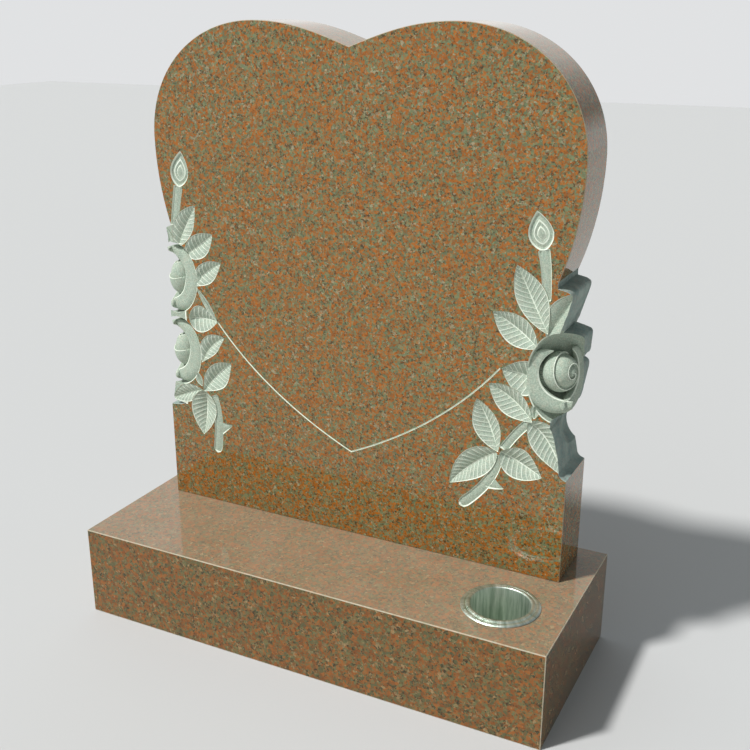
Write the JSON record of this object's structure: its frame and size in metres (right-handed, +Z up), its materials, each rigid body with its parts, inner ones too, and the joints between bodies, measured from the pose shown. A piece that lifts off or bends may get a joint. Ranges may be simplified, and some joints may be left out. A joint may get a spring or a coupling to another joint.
{
  "type": "headstone",
  "caption": "Granite headstone: a heart-shaped tablet on a straight foot, its sides carved with rose sprays, standing on a rectangular base with a steel flower vase let into its top.",
  "frame": {"origin": "on the ground, under the middle of the base", "axes": "+Z up, X along the base, the carved face looks along -Y"},
  "size_m": [0.9, 0.356, 1.0833],
  "materials": {
    "base_granite": "polished red multicolour granite",
    "tablet_granite": "polished red multicolour granite, carving left frosted grey-green",
    "vase_steel": "turned stainless steel"
  },
  "bodies": {
    "root": {"base": "base_granite", "heart_tablet": "tablet_granite", "flower_vase": "vase_steel"}
  },
  "joints": []
}
